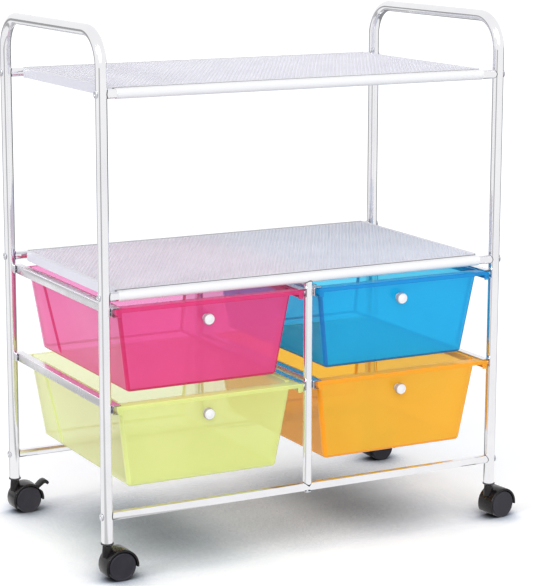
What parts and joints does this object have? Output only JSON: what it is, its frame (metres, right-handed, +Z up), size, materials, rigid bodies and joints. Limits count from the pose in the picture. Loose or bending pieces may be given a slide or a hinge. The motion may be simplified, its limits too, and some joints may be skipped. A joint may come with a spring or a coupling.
{
  "type": "rolling drawer cart",
  "caption": "Rolling storage cart: bent-tube side hoops with handle bars, open sheet shelves above and sliding tapered drawers below, on twin-wheel swivel casters.",
  "frame": {"origin": "middle of the cart's bounding box, on the floor under the wheels", "axes": "+Z up, -Y towards the drawer knobs (front), +X to the right as seen from the front"},
  "size_m": [0.6866, 0.3808, 0.757],
  "materials": {
    "chromed_tube": "bright chrome plate on bent steel tube",
    "shelf_metal": "pale satin powder coat on perforated steel sheet",
    "runner_metal": "white satin paint on folded steel sheet",
    "zinc_steel": "zinc-plated steel",
    "black_plastic": "black moulded plastic",
    "pink_plastic": "translucent tinted polypropylene, satin gloss",
    "lime_plastic": "translucent tinted polypropylene, satin gloss",
    "blue_plastic": "translucent tinted polypropylene, satin gloss",
    "orange_plastic": "translucent tinted polypropylene, satin gloss",
    "white_plastic": "glossy white moulded plastic",
    "hood_plastic": "glossy black moulded plastic",
    "wheel_plastic": "matte dark moulded nylon"
  },
  "bodies": {
    "frame": {"left_side_hoop": "chromed_tube", "right_side_hoop": "chromed_tube", "top_front_tube": "chromed_tube", "top_rear_tube": "chromed_tube", "middle_front_tube": "chromed_tube", "middle_rear_tube": "chromed_tube", "bottom_front_tube": "chromed_tube", "bottom_rear_tube": "chromed_tube", "tube_end_plugs": "black_plastic", "frame_screws": "zinc_steel", "top_shelf": "shelf_metal", "middle_shelf": "shelf_metal", "front_centre_post": "chromed_tube", "rear_centre_post": "chromed_tube", "centre_post_plugs": "black_plastic", "centre_post_screws": "zinc_steel", "left_upper_runner": "runner_metal", "left_lower_runner": "runner_metal", "right_upper_runner": "runner_metal", "right_lower_runner": "runner_metal", "centre_left_upper_runner": "runner_metal", "centre_left_lower_runner": "runner_metal", "centre_right_upper_runner": "runner_metal", "centre_right_lower_runner": "runner_metal", "runner_screws": "zinc_steel", "centre_runner_bolts": "zinc_steel", "caster_sockets": "black_plastic", "caster_stems": "zinc_steel", "stem_grip_rings": "zinc_steel"},
    "upper_left_drawer": {"upper_left_drawer": "pink_plastic", "upper_left_knob": "white_plastic", "upper_left_knob_screw": "zinc_steel"},
    "lower_left_drawer": {"lower_left_drawer": "lime_plastic", "lower_left_knob": "white_plastic", "lower_left_knob_screw": "zinc_steel"},
    "upper_right_drawer": {"upper_right_drawer": "blue_plastic", "upper_right_knob": "white_plastic", "upper_right_knob_screw": "zinc_steel"},
    "lower_right_drawer": {"lower_right_drawer": "orange_plastic", "lower_right_knob": "white_plastic", "lower_right_knob_screw": "zinc_steel"},
    "front_left_caster": {"front_left_hood": "hood_plastic", "front_left_axle": "zinc_steel"},
    "front_left_wheel_a": {"front_left_wheel_a": "wheel_plastic"},
    "front_left_wheel_b": {"front_left_wheel_b": "wheel_plastic"},
    "front_right_caster": {"front_right_hood": "hood_plastic", "front_right_axle": "zinc_steel"},
    "front_right_wheel_a": {"front_right_wheel_a": "wheel_plastic"},
    "front_right_wheel_b": {"front_right_wheel_b": "wheel_plastic"},
    "rear_left_caster": {"rear_left_hood": "hood_plastic", "rear_left_axle": "zinc_steel"},
    "rear_left_wheel_a": {"rear_left_wheel_a": "wheel_plastic"},
    "rear_left_wheel_b": {"rear_left_wheel_b": "wheel_plastic"},
    "rear_right_caster": {"rear_right_hood": "hood_plastic", "rear_right_axle": "zinc_steel"},
    "rear_right_wheel_a": {"rear_right_wheel_a": "wheel_plastic"},
    "rear_right_wheel_b": {"rear_right_wheel_b": "wheel_plastic"},
    "rear_left_brake_lever": {"rear_left_brake_lever": "hood_plastic"},
    "rear_right_brake_lever": {"rear_right_brake_lever": "hood_plastic"}
  },
  "joints": [
    {"name": "upper_left_drawer_slide", "type": "slide", "parent": "frame", "child": "upper_left_drawer", "axis": [0, -1, 0], "range_m": [0, 0.25]},
    {"name": "lower_left_drawer_slide", "type": "slide", "parent": "frame", "child": "lower_left_drawer", "axis": [0, -1, 0], "range_m": [0, 0.25]},
    {"name": "upper_right_drawer_slide", "type": "slide", "parent": "frame", "child": "upper_right_drawer", "axis": [0, -1, 0], "range_m": [0, 0.25]},
    {"name": "lower_right_drawer_slide", "type": "slide", "parent": "frame", "child": "lower_right_drawer", "axis": [0, -1, 0], "range_m": [0, 0.25]},
    {"name": "front_left_swivel", "type": "hinge", "parent": "frame", "child": "front_left_caster", "pos_m": [-0.33302, -0.1746, 0.054], "axis": [0, 0, 1], "continuous": true},
    {"name": "front_left_wheel_a_spin", "type": "hinge", "parent": "front_left_caster", "child": "front_left_wheel_a", "pos_m": [-0.31602, -0.1746, 0.02], "axis": [0, 1, 0], "continuous": true},
    {"name": "front_left_wheel_b_spin", "type": "hinge", "parent": "front_left_caster", "child": "front_left_wheel_b", "pos_m": [-0.31602, -0.1746, 0.02], "axis": [0, 1, 0], "continuous": true},
    {"name": "front_right_swivel", "type": "hinge", "parent": "frame", "child": "front_right_caster", "pos_m": [0.29098, -0.1746, 0.054], "axis": [0, 0, 1], "continuous": true},
    {"name": "front_right_wheel_a_spin", "type": "hinge", "parent": "front_right_caster", "child": "front_right_wheel_a", "pos_m": [0.30785, -0.17253, 0.02], "axis": [-0.1219, 0.9925, 0], "continuous": true},
    {"name": "front_right_wheel_b_spin", "type": "hinge", "parent": "front_right_caster", "child": "front_right_wheel_b", "pos_m": [0.30785, -0.17253, 0.02], "axis": [-0.1219, 0.9925, 0], "continuous": true},
    {"name": "rear_left_swivel", "type": "hinge", "parent": "frame", "child": "rear_left_caster", "pos_m": [-0.33302, 0.1754, 0.054], "axis": [0, 0, 1], "continuous": true},
    {"name": "rear_left_wheel_a_spin", "type": "hinge", "parent": "rear_left_caster", "child": "rear_left_wheel_a", "pos_m": [-0.31602, 0.1754, 0.02], "axis": [0, 1, 0], "continuous": true},
    {"name": "rear_left_wheel_b_spin", "type": "hinge", "parent": "rear_left_caster", "child": "rear_left_wheel_b", "pos_m": [-0.31602, 0.1754, 0.02], "axis": [0, 1, 0], "continuous": true},
    {"name": "rear_right_swivel", "type": "hinge", "parent": "frame", "child": "rear_right_caster", "pos_m": [0.29098, 0.1754, 0.054], "axis": [0, 0, 1], "continuous": true},
    {"name": "rear_right_wheel_a_spin", "type": "hinge", "parent": "rear_right_caster", "child": "rear_right_wheel_a", "pos_m": [0.30798, 0.1754, 0.02], "axis": [0, 1, 0], "continuous": true},
    {"name": "rear_right_wheel_b_spin", "type": "hinge", "parent": "rear_right_caster", "child": "rear_right_wheel_b", "pos_m": [0.30798, 0.1754, 0.02], "axis": [0, 1, 0], "continuous": true},
    {"name": "rear_left_brake_press", "type": "hinge", "parent": "rear_left_caster", "child": "rear_left_brake_lever", "pos_m": [-0.29848, 0.1754, 0.03472], "axis": [0, 1, 0], "range_deg": [0, 20]},
    {"name": "rear_right_brake_press", "type": "hinge", "parent": "rear_right_caster", "child": "rear_right_brake_lever", "pos_m": [0.32552, 0.1754, 0.03472], "axis": [0, 1, 0], "range_deg": [0, 20]}
  ]
}
